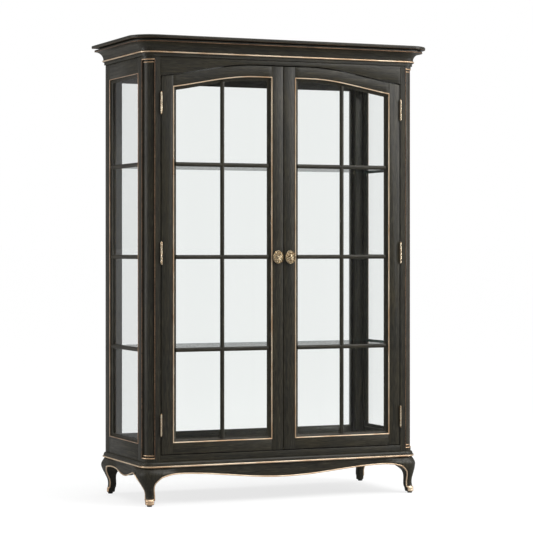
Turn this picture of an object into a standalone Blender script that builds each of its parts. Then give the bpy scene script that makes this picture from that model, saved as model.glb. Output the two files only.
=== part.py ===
"""Curio cabinet: a two-door glazed display cabinet on cabriole legs, in painted wood.

Metres, +Z up. The front faces -Y, +X is to the right of someone facing the front, and the
origin is on the floor under the centre of the cabinet's bounding box.
"""

import math

import bmesh
import bpy
from mathutils import Vector

for old in list(bpy.data.objects):
    bpy.data.objects.remove(old, do_unlink=True)

# Overall sizes
HEIGHT = 2.000
BODY_WIDTH = 1.284
BODY_DEPTH = 0.519
CORNICE_OVERHANG = 0.065

# Heights of the base, the face frame and the cornice
BASE_BOTTOM = 0.1625
BASE_HEIGHT = 0.0242
LOWER_RAIL_HEIGHT = 0.0303
UPPER_RAIL_HEIGHT = 0.024
CORNICE_HEIGHT = 0.085
SLAB_THICKNESS = 0.0132

# Face frame and carcass
POST_WIDTH = 0.0694
POST_DEPTH = 0.043
REAR_POST_WIDTH = 0.060
COLUMN_RECESS = 0.008
COLUMN_RING = 0.004
RING_STEP = 0.011
RING_HALF = 0.002
RING_SLOPE = 0.001
COLUMN_FOOT_RISE = 0.0163
COLUMN_HEAD_DROP = 0.014
SIDE_THICKNESS = 0.022
RAIL_THICKNESS = 0.022
BACK_THICKNESS = 0.020
BOARD_THICKNESS = 0.022
FLOOR_LIP = 0.0125
CEILING_DROP = 0.013
SIDE_STILE = 0.0495
SIDE_REAR_STILE = 0.064
SIDE_RAIL_BOTTOM = 0.078
SIDE_RAIL_TOP = 0.073
BACK_STILE = 0.014
BACK_RAIL_BOTTOM = 0.0793
BACK_RAIL_TOP = 0.078
BACK_GLASS_SET_BACK = 0.008

# Doors
DOOR_THICKNESS = 0.025
DOOR_SEAM = 0.002
DOOR_GAP = 0.002
HINGE_GAP = 0.0026
DOOR_STILE = 0.069
DOOR_RAIL_BOTTOM = 0.0645
DOOR_RAIL_TOP = 0.0630
DOOR_SLOPE = 0.013
ARCH_RISE = 0.066
ARCH_FLAT = 0.135
ARCH_RUN_OUT = 0.085
GLAZING_BAR = 0.018
GLAZING_BAR_DEPTH = 0.0095
GLAZING_BAR_SET_BACK = 0.003
GLASS_THICKNESS = 0.004
LOWEST_BAR = 0.6622
BAR_SPACING = 0.3972
BAR_ROWS = 3

# Shelves
SHELF_THICKNESS = 0.006
SHELF_CLEARANCE = 0.002
SHELF_SET_BACK = 0.004
PIN_RADIUS = 0.0027
PIN_LENGTH = 0.009
PIN_INSET = 0.007

# Hinges and knobs
HINGE_LENGTH = 0.090
HINGE_FROM_BOTTOM = 0.127
HINGE_FROM_TOP = 0.175
MIDDLE_HINGE = 1.077
BARREL_RADIUS = 0.0045
PIVOT_RADIUS = 0.0022
PIVOT_CLEARANCE = 0.0004
LEAF_THICKNESS = 0.0008
LEAF_DEPTH = 0.020
KNOB_HEIGHT = 1.0585
KNOB_WIDTH = 0.050
KNOB_TALL = 0.064
KNOB_DEPTH = 0.028
BOSS_RADIUS = 0.0135
NECK_RADIUS = 0.0065

# Base
APRON_THICKNESS = 0.020
APRON_PROUD = 0.004
KNEE_PROUD = 0.018
KNEE_LENGTH = 0.100
REAR_APRON_DEPTH = 0.028
LEG_BLOCK = 0.0705
PAD_RADIUS = 0.011
PAD_HEIGHT = 0.0062
# Depth at the middle and at the arches, the arches' distance from the ends, and their fall
FRONT_SCALLOP = (0.060, 0.028, 0.071, 2.4)
SIDE_SCALLOP = (0.055, 0.030, 0.041, 3.4)

# Mouldings of the cornice and the base
BEAD_RADIUS = 0.0055
MOULDING_WALL = 0.030
CORNICE_FASCIA = 0.006
CORNICE_BEAD_OUT = 0.010
CORNICE_BEAD_RISE = 0.0175
COVE_WIDTH = 0.040
COVE_HEIGHT = 0.0335
COVE_FILLET = 0.003
BASE_FASCIA = 0.004
BASE_BEAD_OUT = 0.0085
BASE_BEAD_RISE = 0.0061

# Clearance left between pieces that touch, and how far a cutter runs past what it cuts
FIT = 0.0003
CUTTER_REACH = 0.010

# Values worked out from the sizes above
HALF_WIDTH = BODY_WIDTH / 2
FRONT = CORNICE_OVERHANG - (BODY_DEPTH + CORNICE_OVERHANG) / 2
REAR = FRONT + BODY_DEPTH
BASE_TOP = BASE_BOTTOM + BASE_HEIGHT
BODY_TOP = HEIGHT - CORNICE_HEIGHT
DOOR_BOTTOM = BASE_TOP + LOWER_RAIL_HEIGHT
DOOR_TOP = BODY_TOP - UPPER_RAIL_HEIGHT
FLOOR_TOP = DOOR_BOTTOM + FLOOR_LIP
CEILING = BODY_TOP - CEILING_DROP
OPENING_HALF = HALF_WIDTH - POST_WIDTH
DOOR_OUTER = OPENING_HALF - HINGE_GAP
HINGE_X = OPENING_HALF - HINGE_GAP / 2
HINGE_Y = FRONT - BARREL_RADIUS - FIT
GLASS_FRONT = FRONT + GLAZING_BAR_SET_BACK + GLAZING_BAR_DEPTH + FIT
BAR_HEIGHTS = [LOWEST_BAR + BAR_SPACING * row for row in range(BAR_ROWS)]
SIDES = {"left": -1, "right": 1}
SHELF_NAMES = ["lower", "middle", "upper"]
HINGE_HEIGHTS = {
    "lower": DOOR_BOTTOM + HINGE_FROM_BOTTOM,
    "middle": MIDDLE_HINGE,
    "upper": DOOR_TOP - HINGE_FROM_TOP,
}


# Materials
def principled(name, colour, roughness, metallic=0.0, transmission=0.0):
    material = bpy.data.materials.new(name)
    material.use_nodes = True
    shader = material.node_tree.nodes["Principled BSDF"]
    shader.inputs["Base Color"].default_value = (*colour, 1.0)
    shader.inputs["Roughness"].default_value = roughness
    shader.inputs["Metallic"].default_value = metallic
    shader.inputs["Transmission Weight"].default_value = transmission
    material.diffuse_color = (*colour, 1.0 - 0.65 * transmission)
    return material


def black_wood(name):
    return principled(name + "_paint", (0.030, 0.026, 0.021), 0.42)


def clear_glass(name):
    return principled(name + "_glass", (0.90, 0.95, 0.93), 0.03, transmission=1.0)


def aged_brass(name):
    return principled(name + "_brass", (0.46, 0.33, 0.17), 0.34, metallic=1.0)


# Modelling helpers
def place(name, bm, material, pivot=None):
    """Makes the named object, with its origin on its pivot's axis if it has one."""
    bmesh.ops.recalc_face_normals(bm, faces=bm.faces)
    if pivot:
        bmesh.ops.translate(bm, verts=bm.verts, vec=-pivot.location)
    mesh = bpy.data.meshes.new(name)
    bm.to_mesh(mesh)
    bm.free()
    obj = bpy.data.objects.new(name, mesh)
    bpy.context.scene.collection.objects.link(obj)
    obj.data.materials.append(material(name))
    obj.parent = pivot
    return obj


def extrude_rings(bm, rings, closed=False):
    """Extrudes the first ring of points through all the others, and caps or joins the ends."""
    verts = [bm.verts.new(point) for point in rings[0]]
    count = len(verts)
    edges = [bm.edges.new((verts[i], verts[(i + 1) % count])) for i in range(count)]
    if not closed:
        bm.faces.new(verts)
    for ring in rings[1:]:
        made = bmesh.ops.extrude_edge_only(bm, edges=edges)["geom"]
        pairs = {}
        for item in made:
            if isinstance(item, bmesh.types.BMVert):
                pairs[min(range(count), key=lambda i: (verts[i].co - item.co).length)] = item
        verts = [pairs[i] for i in range(count)]
        edges = [bm.edges.get((verts[i], verts[(i + 1) % count])) for i in range(count)]
        for vert, point in zip(verts, ring):
            vert.co = point
    if closed:
        bmesh.ops.remove_doubles(bm, verts=bm.verts, dist=1e-6)
    else:
        bm.faces.new(verts)


def solid(name, rings, material, pivot=None, closed=False):
    bm = bmesh.new()
    extrude_rings(bm, rings, closed)
    return place(name, bm, material, pivot)


def front_outline(outline, y):
    return [Vector((x, y, z)) for x, z in outline]


def side_outline(outline, x):
    return [Vector((x, y, z)) for y, z in outline]


def plan_outline(outline, z):
    return [Vector((x, y, z)) for x, y in outline]


def rectangle(low_u, high_u, low_v, high_v):
    return [(low_u, low_v), (high_u, low_v), (high_u, high_v), (low_u, high_v)]


def box(name, x, y, z, material, pivot=None):
    outline = rectangle(x[0], x[1], y[0], y[1])
    return solid(name, [plan_outline(outline, z[0]), plan_outline(outline, z[1])], material, pivot)


def circle(centre_u, centre_v, radius, count, stretch=1.0):
    angles = [2 * math.pi * i / count for i in range(count)]
    return [
        (centre_u + radius * math.cos(a), centre_v + stretch * radius * math.sin(a))
        for a in angles
    ]


def arc(centre_u, centre_v, radius, start, end, steps):
    """Points on an arc, with its angles in degrees."""
    angles = [math.radians(start + (end - start) * i / steps) for i in range(steps + 1)]
    return [(centre_u + radius * math.cos(a), centre_v + radius * math.sin(a)) for a in angles]


def boolean(obj, other, operation):
    """Cuts or joins with another object, which stays in the scene as a hidden helper."""
    other.hide_render = True
    other.display_type = "WIRE"
    modifier = obj.modifiers.new(operation.title(), "BOOLEAN")
    modifier.operation = operation
    modifier.solver = "EXACT"
    modifier.object = other


def smooth(value):
    value = min(max(value, 0.0), 1.0)
    return value * value * (3 - 2 * value)


def arch(x):
    """How far the doors' top edge has dropped from its crown, at this distance from the seam."""
    return ARCH_RISE * smooth((abs(x) - ARCH_FLAT) / (DOOR_OUTER + ARCH_RUN_OUT - ARCH_FLAT))


def arched_outline(inner, outer, bottom, crown, steps=14):
    """Outline in X and Z with an arched top, from the side near the seam to the outer side."""
    points = [outer + (inner - outer) * i / steps for i in range(steps + 1)]
    return [(inner, bottom), (outer, bottom)] + [(x, crown - arch(x)) for x in points]


# Mouldings that run along both sides and the front, round the two front corners
def plan_ring(out, corner_steps=7, rear=0.0):
    """Outline of the cabinet in plan, grown outwards by this much at the front and sides."""
    radius = POST_DEPTH + out
    centre_x = HALF_WIDTH - POST_DEPTH
    centre_y = FRONT + POST_DEPTH
    left = arc(-centre_x, centre_y, radius, 180, 270, corner_steps)
    right = arc(centre_x, centre_y, radius, 270, 360, corner_steps)
    ends = (HALF_WIDTH + out, REAR - rear)
    return [(-ends[0], ends[1])] + left + right + [ends]


def moulded_frame(name, profile, low, high, material):
    """A closed frame with this outer profile, and a plain wall inside it."""
    inside = plan_ring(-MOULDING_WALL, rear=MOULDING_WALL)
    rings = [plan_outline(inside, low)]
    rings += [plan_outline(plan_ring(out), z) for out, z in profile]
    rings += [plan_outline(inside, high), rings[0]]
    return solid(name, rings, material, closed=True)


cornice_top = HEIGHT - SLAB_THICKNESS - FIT
cornice_bead = BODY_TOP + CORNICE_BEAD_RISE
cove_out = CORNICE_BEAD_OUT + COVE_WIDTH
cove_low = cornice_bead + BEAD_RADIUS
cove_high = cove_low + COVE_HEIGHT
fillet_low = cove_high + COVE_FILLET / 3
fillet_high = fillet_low + 2 * COVE_FILLET
cornice_profile = [(CORNICE_FASCIA, BODY_TOP), (CORNICE_FASCIA, cornice_bead - BEAD_RADIUS)]
cornice_profile += arc(CORNICE_BEAD_OUT, cornice_bead, BEAD_RADIUS, -80, 80, 4)
for step in range(7):
    angle = math.radians(90 * step / 6)
    cornice_profile.append(
        (cove_out - COVE_WIDTH * math.cos(angle), cove_low + COVE_HEIGHT * math.sin(angle))
    )
cornice_profile += [(cove_out + COVE_FILLET, fillet_low), (cove_out + COVE_FILLET, fillet_high)]
cornice_profile += [(cove_out, fillet_high + COVE_FILLET), (cove_out, cornice_top)]
moulded_frame("cornice", cornice_profile, BODY_TOP, cornice_top, black_wood)

slab_radius = SLAB_THICKNESS / 2
slab_edge = arc(CORNICE_OVERHANG - slab_radius, HEIGHT - slab_radius, slab_radius, -90, 90, 6)
solid("top_slab", [plan_outline(plan_ring(out), z) for out, z in slab_edge], black_wood)

base_bead = BASE_BOTTOM + BASE_BEAD_RISE
slope_low = base_bead + BEAD_RADIUS
base_profile = [(BASE_FASCIA, BASE_BOTTOM)]
base_profile += arc(BASE_BEAD_OUT, base_bead, BEAD_RADIUS, -80, 80, 4)
for step in range(5):
    angle = math.radians(90 * step / 4)
    base_profile.append(
        (BASE_BEAD_OUT * math.cos(angle), slope_low + (BASE_TOP - slope_low) * math.sin(angle))
    )
moulded_frame("base_moulding", base_profile, BASE_BOTTOM, BASE_TOP, black_wood)


# Corner posts. Each front one has a rounded corner, cut back to a quarter column between rings.
def front_post_section(side, column_radius, z):
    centre = HALF_WIDTH - POST_DEPTH
    outline = [(OPENING_HALF, POST_DEPTH), (OPENING_HALF, 0.0), (centre, 0.0)]
    outline += arc(centre, POST_DEPTH, column_radius, -90, 0, 8)
    return plan_outline([(side * x, FRONT + y) for x, y in outline], z)


def ring_steps(height):
    """Heights and radii up over one ring on the column."""
    return [
        (height - RING_HALF - RING_SLOPE, column),
        (height - RING_HALF, column + COLUMN_RING),
        (height + RING_HALF, column + COLUMN_RING),
        (height + RING_HALF + RING_SLOPE, column),
    ]


plain_corner = POST_DEPTH - FIT
column = POST_DEPTH - COLUMN_RECESS
post_foot = BASE_TOP + FIT
post_head = BODY_TOP - FIT
column_foot = BASE_TOP + COLUMN_FOOT_RISE
column_head = BODY_TOP - COLUMN_HEAD_DROP
column_steps = [(post_foot, plain_corner), (column_foot, plain_corner)]
column_steps.append((column_foot + RING_SLOPE, column))
column_steps += ring_steps(column_foot + RING_STEP) + ring_steps(column_head - RING_STEP)
column_steps.append((column_head - RING_SLOPE, column))
column_steps += [(column_head, plain_corner), (post_head, plain_corner)]
for hand, side in SIDES.items():
    sections = [front_post_section(side, radius, z) for z, radius in column_steps]
    solid(f"front_post_{hand}", sections, black_wood)
    span = sorted((side * HALF_WIDTH, side * (HALF_WIDTH - REAR_POST_WIDTH)))
    box(
        f"rear_post_{hand}",
        span,
        (REAR - POST_DEPTH, REAR),
        (post_foot, post_head),
        black_wood,
    )

# Rails of the face frame, between the front posts. The upper one follows the doors' tops.
rail_half = OPENING_HALF - FIT
box(
    "face_rail_bottom",
    (-rail_half, rail_half),
    (FRONT, FRONT + RAIL_THICKNESS),
    (post_foot, DOOR_BOTTOM - DOOR_GAP),
    black_wood,
)
rail_points = [rail_half - 2 * rail_half * i / 36 for i in range(37)]
rail_outline = [(-rail_half, post_head), (rail_half, post_head)]
rail_outline += [(x, DOOR_TOP + DOOR_GAP - arch(x)) for x in rail_points]
solid(
    "face_rail_top",
    [front_outline(rail_outline, FRONT), front_outline(rail_outline, FRONT + RAIL_THICKNESS)],
    black_wood,
)

# Side frames, each cut through by four lights that leave three glazing bars, and their panes
side_front = FRONT + POST_DEPTH + FIT
side_rear = REAR - POST_DEPTH - FIT
window_front = FRONT + POST_DEPTH + SIDE_STILE
window_rear = REAR - SIDE_REAR_STILE
window_low = BASE_TOP + SIDE_RAIL_BOTTOM
window_high = BODY_TOP - SIDE_RAIL_TOP
light_edges = [window_low]
for height in BAR_HEIGHTS:
    light_edges += [height - GLAZING_BAR / 2, height + GLAZING_BAR / 2]
light_edges.append(window_high)
for hand, side in SIDES.items():
    outer = side * HALF_WIDTH
    inner = side * (HALF_WIDTH - SIDE_THICKNESS)
    bar_back = side * (HALF_WIDTH - GLAZING_BAR_SET_BACK - GLAZING_BAR_DEPTH)
    frame = box(
        f"side_frame_{hand}",
        sorted((outer, inner)),
        (side_front, side_rear),
        (post_foot, post_head),
        black_wood,
    )
    window = (window_front, window_rear)
    for row in range(BAR_ROWS + 1):
        light = (light_edges[2 * row], light_edges[2 * row + 1])
        reach = sorted((outer + side * CUTTER_REACH, inner - side * CUTTER_REACH))
        cutter = box(f"cutter_light_{hand}_{row}", reach, window, light, black_wood)
        boolean(frame, cutter, "DIFFERENCE")
    reach = sorted((bar_back, inner - side * CUTTER_REACH))
    cutter = box(f"cutter_rebate_{hand}", reach, window, (window_low, window_high), black_wood)
    boolean(frame, cutter, "DIFFERENCE")
    pane_front = bar_back - side * FIT
    box(
        f"side_glass_{hand}",
        sorted((pane_front, pane_front - side * GLASS_THICKNESS)),
        (window_front + FIT, window_rear - FIT),
        (window_low + FIT, window_high - FIT),
        clear_glass,
    )

# Back frame between the rear posts, and its pane
back_half = HALF_WIDTH - REAR_POST_WIDTH - FIT
back_front = REAR - BACK_THICKNESS
back_open_half = back_half - BACK_STILE
back_low = BASE_TOP + BACK_RAIL_BOTTOM
back_high = BODY_TOP - BACK_RAIL_TOP
back_frame = box(
    "back_frame", (-back_half, back_half), (back_front, REAR), (post_foot, post_head), black_wood
)
back_light = box(
    "cutter_back",
    (-back_open_half, back_open_half),
    (back_front - CUTTER_REACH, REAR + CUTTER_REACH),
    (back_low, back_high),
    black_wood,
)
boolean(back_frame, back_light, "DIFFERENCE")
back_pane_front = back_front + BACK_GLASS_SET_BACK
box(
    "back_glass",
    (-back_open_half + FIT, back_open_half - FIT),
    (back_pane_front, back_pane_front + GLASS_THICKNESS),
    (back_low + FIT, back_high - FIT),
    clear_glass,
)


# Boards and shelves fill the inside, notched round the four posts
def notched_outline(front, rear, clearance):
    half = HALF_WIDTH - SIDE_THICKNESS - clearance
    front_half = OPENING_HALF - clearance
    rear_half = HALF_WIDTH - REAR_POST_WIDTH - clearance
    front_notch = FRONT + POST_DEPTH + clearance
    rear_notch = REAR - POST_DEPTH - clearance
    right = [
        (front_half, front),
        (front_half, front_notch),
        (half, front_notch),
        (half, rear_notch),
        (rear_half, rear_notch),
        (rear_half, rear),
    ]
    return right + [(-x, y) for x, y in reversed(right)]


def board(name, top, thickness, front, rear, clearance, material):
    outline = notched_outline(front, rear, clearance)
    levels = [plan_outline(outline, top - thickness), plan_outline(outline, top)]
    return solid(name, levels, material)


board_front = FRONT + DOOR_THICKNESS + DOOR_GAP
board_rear = back_front - FIT
board("bottom_board", FLOOR_TOP, BOARD_THICKNESS, board_front, board_rear, FIT, black_wood)
board("top_board", CEILING, BOARD_THICKNESS, board_front, board_rear, FIT, black_wood)

shelf_front = board_front + SHELF_SET_BACK
shelf_rear = back_front - SHELF_CLEARANCE
for shelf, height in zip(SHELF_NAMES, BAR_HEIGHTS):
    shelf_top = height + SHELF_THICKNESS / 2
    board(
        f"glass_shelf_{shelf}",
        shelf_top,
        SHELF_THICKNESS,
        shelf_front,
        shelf_rear,
        SHELF_CLEARANCE,
        clear_glass,
    )
    pin_z = height - SHELF_THICKNESS / 2 - PIN_RADIUS - FIT
    for hand, side in SIDES.items():
        pins = {
            "front": (OPENING_HALF, FRONT + POST_DEPTH - PIN_INSET),
            "rear": (HALF_WIDTH - REAR_POST_WIDTH, REAR - POST_DEPTH + PIN_INSET),
        }
        for end, (face, y) in pins.items():
            root = side * (face - FIT)
            tip = side * (face - PIN_LENGTH)
            outline = circle(y, pin_z, PIN_RADIUS, 10)
            solid(
                f"shelf_pin_{shelf}_{end}_{hand}",
                [side_outline(outline, root), side_outline(outline, tip)],
                aged_brass,
            )


# Doors: frame, glazing bars, pane, knob and hinge leaves, on an empty at the hinge axis
def ladder_outline(low_x, high_x, centre_x, bottom, top):
    """One upright and three crossbars, as a single outline that starts at the foot."""
    half = GLAZING_BAR / 2
    right = [(centre_x + half, bottom)]
    left = [(centre_x - half, bottom)]
    for height in BAR_HEIGHTS:
        right += [(centre_x + half, height - half), (high_x, height - half)]
        right += [(high_x, height + half), (centre_x + half, height + half)]
        left += [(centre_x - half, height - half), (low_x, height - half)]
        left += [(low_x, height + half), (centre_x - half, height + half)]
    right.append((centre_x + half, top(centre_x + half)))
    left.append((centre_x - half, top(centre_x - half)))
    return right + left[::-1]


def arch_prism(name, outline, front, rear, material, pivot=None):
    return solid(
        name, [front_outline(outline, front), front_outline(outline, rear)], material, pivot
    )


def knob(name, x, material, pivot):
    """An oval rosette plate with a turned neck and a domed boss, in rings from the door outwards."""
    stretch = KNOB_TALL / KNOB_WIDTH
    plate = KNOB_WIDTH / 2
    steps = [
        # radius, distance out from the door, height over width
        (plate - 0.001, 0.0, stretch),
        (plate, 0.0015, stretch),
        (plate - 0.004, 0.0035, stretch),
        (plate * 0.6, 0.0060, stretch),
        (NECK_RADIUS + 0.001, 0.0080, 1.0),
        (NECK_RADIUS, 0.0120, 1.0),
        (BOSS_RADIUS - 0.002, KNOB_DEPTH - 0.0120, 1.0),
        (BOSS_RADIUS, KNOB_DEPTH - 0.0080, 1.0),
        (BOSS_RADIUS - 0.002, KNOB_DEPTH - 0.0035, 1.0),
        (BOSS_RADIUS * 0.45, KNOB_DEPTH, 1.0),
    ]
    rings = []
    for radius, out, oval in steps:
        outline = circle(x, KNOB_HEIGHT, radius, 20, oval)
        rings.append(front_outline(outline, FRONT - FIT - out))
    return solid(name, rings, material, pivot)


def leaf_plate(name, near, far, tabs, reach, height, pivot):
    """A hinge leaf in the gap beside the door, with tabs that reach forward to its knuckles."""
    front = FRONT + FIT
    rear = FRONT + LEAF_DEPTH
    low = height - HINGE_LENGTH / 2
    high = height + HINGE_LENGTH / 2
    outline = [(rear, high), (rear, low)]
    for tab_low, tab_high in tabs:
        outline += [(front, height + tab_low), (reach, height + tab_low)]
        outline += [(reach, height + tab_high), (front, height + tab_high)]
    if tabs[0][0] > -HINGE_LENGTH / 2:
        outline = [(rear, high), (rear, low), (front, low)] + outline[2:] + [(front, high)]
    plates = [side_outline(outline, near), side_outline(outline, far)]
    return solid(name, plates, aged_brass, pivot)


def hinge(place_name, side, height, pivot):
    axis_x = side * HINGE_X
    knuckle = HINGE_LENGTH / 6
    end = HINGE_LENGTH / 2
    bore = PIVOT_RADIUS + PIVOT_CLEARANCE
    turned = [
        (0.0012, -end - 0.0065),
        (0.0030, -end - 0.0045),
        (0.0030, -end - 0.0025),
        (0.0018, -end - 0.0005),
        (BARREL_RADIUS, -end),
        (BARREL_RADIUS, -knuckle),
        (PIVOT_RADIUS, -knuckle),
    ]
    turned += [(radius, -z) for radius, z in reversed(turned)]
    rings = [plan_outline(circle(axis_x, HINGE_Y, r, 14), height + z) for r, z in turned]
    post_leaf = solid(f"hinge_{place_name}_post_leaf", rings, aged_brass)
    near = side * (OPENING_HALF - FIT)
    end_tabs = [(-end, -knuckle - FIT), (knuckle + FIT, end)]
    plate = leaf_plate(
        f"helper_{place_name}_post_plate",
        near,
        near - side * LEAF_THICKNESS,
        end_tabs,
        HINGE_Y + BARREL_RADIUS * 0.5,
        height,
        None,
    )
    boolean(post_leaf, plate, "UNION")

    tube = [(BARREL_RADIUS, FIT - knuckle), (BARREL_RADIUS, knuckle - FIT)]
    tube += [(bore, knuckle - FIT), (bore, FIT - knuckle), (BARREL_RADIUS, FIT - knuckle)]
    rings = [plan_outline(circle(axis_x, HINGE_Y, r, 14), height + z) for r, z in tube]
    door_leaf = solid(f"hinge_{place_name}_door_leaf", rings, aged_brass, pivot, closed=True)
    near = side * (DOOR_OUTER + FIT)
    plate = leaf_plate(
        f"helper_{place_name}_door_plate",
        near,
        near + side * LEAF_THICKNESS,
        [(FIT - knuckle, knuckle - FIT)],
        HINGE_Y + (BARREL_RADIUS + bore) / 2,
        height,
        pivot,
    )
    boolean(door_leaf, plate, "UNION")


for hand, side in SIDES.items():
    pivot = bpy.data.objects.new(f"{hand}_door_axis", None)
    bpy.context.scene.collection.objects.link(pivot)
    pivot.location = (side * HINGE_X, HINGE_Y, 0.0)
    inner = side * DOOR_SEAM / 2
    outer = side * DOOR_OUTER
    outline = arched_outline(inner, outer, DOOR_BOTTOM, DOOR_TOP)
    frame = arch_prism(
        f"{hand}_door_frame", outline, FRONT, FRONT + DOOR_THICKNESS, black_wood, pivot
    )
    light_inner = side * (DOOR_SEAM / 2 + DOOR_STILE)
    light_outer = side * (DOOR_OUTER - DOOR_STILE)
    light_low = DOOR_BOTTOM + DOOR_RAIL_BOTTOM
    light_crown = DOOR_TOP - DOOR_RAIL_TOP
    opening = arched_outline(light_inner, light_outer, light_low, light_crown)
    cutter = arch_prism(
        f"cutter_{hand}_door",
        opening,
        FRONT - CUTTER_REACH,
        FRONT + DOOR_THICKNESS + CUTTER_REACH,
        black_wood,
    )
    boolean(frame, cutter, "DIFFERENCE")
    pane_inner = light_inner + side * FIT
    pane_outer = light_outer - side * FIT
    pane = arched_outline(pane_inner, pane_outer, light_low + FIT, light_crown - FIT)
    arch_prism(
        f"{hand}_door_glass",
        pane,
        GLASS_FRONT,
        GLASS_FRONT + GLASS_THICKNESS,
        clear_glass,
        pivot,
    )
    bars = ladder_outline(
        min(pane_inner, pane_outer),
        max(pane_inner, pane_outer),
        (light_inner + light_outer) / 2,
        light_low + FIT,
        lambda x: light_crown - 2 * FIT - arch(x),
    )
    arch_prism(
        f"{hand}_door_glazing_bars",
        bars,
        FRONT + GLAZING_BAR_SET_BACK,
        FRONT + GLAZING_BAR_SET_BACK + GLAZING_BAR_DEPTH,
        black_wood,
        pivot,
    )
    knob_x = side * (DOOR_SEAM + DOOR_STILE - DOOR_SLOPE) / 2
    knob(f"{hand}_door_knob", knob_x, aged_brass, pivot)
    for level, height in HINGE_HEIGHTS.items():
        hinge(f"{hand}_{level}", side, height, pivot)


# Base: cabriole legs with a knee and a turned-out toe, and shaped aprons between them
def knee(distance_from_block):
    """How proud the apron stands of the body, swelling towards the leg it meets."""
    return APRON_PROUD + KNEE_PROUD * smooth(1 - distance_from_block / KNEE_LENGTH)


LEG_SECTIONS = [
    # share of the leg's height, outer side, inner side, front, back, outer radius, other radii
    (1.000, -0.0040, LEG_BLOCK, -0.0040, LEG_BLOCK, 0.047, 0.003),
    (0.925, -0.0135, LEG_BLOCK, -0.0135, LEG_BLOCK, 0.056, 0.003),
    (0.838, -0.0215, LEG_BLOCK, -0.0215, LEG_BLOCK, 0.064, 0.003),
    (0.764, -0.0205, LEG_BLOCK, -0.0205, LEG_BLOCK, 0.062, 0.003),
    (0.715, -0.0180, 0.0620, -0.0190, 0.0620, 0.058, 0.005),
    (0.660, -0.0145, 0.0525, -0.0165, 0.0500, 0.050, 0.007),
    (0.600, -0.0100, 0.0445, -0.0135, 0.0435, 0.043, 0.009),
    (0.512, -0.0030, 0.0415, -0.0095, 0.0385, 0.032, 0.011),
    (0.419, 0.0045, 0.0425, -0.0070, 0.0360, 0.024, 0.013),
    (0.321, 0.0080, 0.0445, -0.0060, 0.0350, 0.020, 0.014),
    (0.234, 0.0075, 0.0448, -0.0070, 0.0345, 0.0195, 0.014),
    (0.160, 0.0042, 0.0425, -0.0115, 0.0290, 0.0185, 0.0135),
    (0.090, 0.0025, 0.0410, -0.0145, 0.0245, 0.0185, 0.013),
    (0.044, 0.0042, 0.0390, -0.0135, 0.0225, 0.0170, 0.0125),
]


def rounded_section(outer, inner, front, back, outer_radius, radius):
    """A rectangle with rounded corners, measured inwards from the cabinet's corner."""
    shorter = min(inner - outer, back - front)
    radius = min(radius, shorter / 2 - FIT)
    outer_radius = min(outer_radius, shorter - radius - FIT)
    points = arc(outer + outer_radius, front + outer_radius, outer_radius, 180, 270, 5)
    points += arc(inner - radius, front + radius, radius, 270, 360, 2)
    points += arc(inner - radius, back - radius, radius, 0, 90, 2)
    points += arc(outer + radius, back - radius, radius, 90, 180, 2)
    return points


def leg(name, side, is_front):
    rings = []
    for share, outer, inner, front, back, outer_radius, radius in LEG_SECTIONS:
        if not is_front:
            front = 0.0
            outer_radius = radius
        section = rounded_section(outer, inner, front, back, outer_radius, radius)
        rings.append((section, share * (BASE_BOTTOM - FIT)))
    foot = rings[-1][0]
    centre_u = (min(u for u, v in foot) + max(u for u, v in foot)) / 2
    centre_v = (min(v for u, v in foot) + max(v for u, v in foot)) / 2
    pad = []
    for u, v in foot:
        reach = math.hypot(u - centre_u, v - centre_v)
        scale = PAD_RADIUS / reach
        pad.append((centre_u + (u - centre_u) * scale, centre_v + (v - centre_v) * scale))
    rings += [(pad, PAD_HEIGHT), (pad, 0.0)]
    edge, inward = (FRONT, 1) if is_front else (REAR, -1)
    levels = []
    for section, z in rings:
        outline = [(side * (HALF_WIDTH - u), edge + inward * v) for u, v in section]
        levels.append(plan_outline(outline, z))
    return solid(name, levels, black_wood)


for hand, side in SIDES.items():
    leg(f"leg_front_{hand}", side, True)
    leg(f"leg_rear_{hand}", side, False)

def scallop(distance, half_length, middle_depth, arch_depth, arch_inset, shoulder):
    """Height of an apron's lower edge: a dip at the middle, an arch each side, a fall beyond."""
    distance = abs(distance)
    arch_place = half_length - arch_inset
    if distance > arch_place:
        return BASE_BOTTOM - arch_depth - shoulder * (distance - arch_place) ** 2
    wave = (1 - math.cos(math.pi * distance / arch_place)) / 2
    return BASE_BOTTOM - middle_depth + (middle_depth - arch_depth) * wave


apron_top = BASE_BOTTOM - FIT
apron_half = HALF_WIDTH - LEG_BLOCK - FIT
rings = []
for step in range(33):
    x = apron_half * (step / 16 - 1)
    low = scallop(x, apron_half, *FRONT_SCALLOP)
    face = FRONT - knee(apron_half - abs(x))
    outline = rectangle(face, FRONT + APRON_THICKNESS, low, apron_top)
    rings.append(side_outline(outline, x))
solid("apron_front", rings, black_wood)

side_apron_half = BODY_DEPTH / 2 - LEG_BLOCK - FIT
side_apron_centre = (FRONT + REAR) / 2
for hand, side in SIDES.items():
    rings = []
    for step in range(21):
        offset = side_apron_half * (step / 10 - 1)
        low = scallop(offset, side_apron_half, *SIDE_SCALLOP)
        face = HALF_WIDTH + knee(side_apron_half - abs(offset))
        outline = rectangle(HALF_WIDTH - APRON_THICKNESS, face, low, apron_top)
        ring = [(side * u, v) for u, v in outline]
        rings.append(front_outline(ring, side_apron_centre + offset))
    solid(f"apron_{hand}", rings, black_wood)

box(
    "apron_rear",
    (-apron_half, apron_half),
    (REAR - APRON_THICKNESS, REAR),
    (BASE_BOTTOM - REAR_APRON_DEPTH, apron_top),
    black_wood,
)
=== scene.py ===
import math

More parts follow.
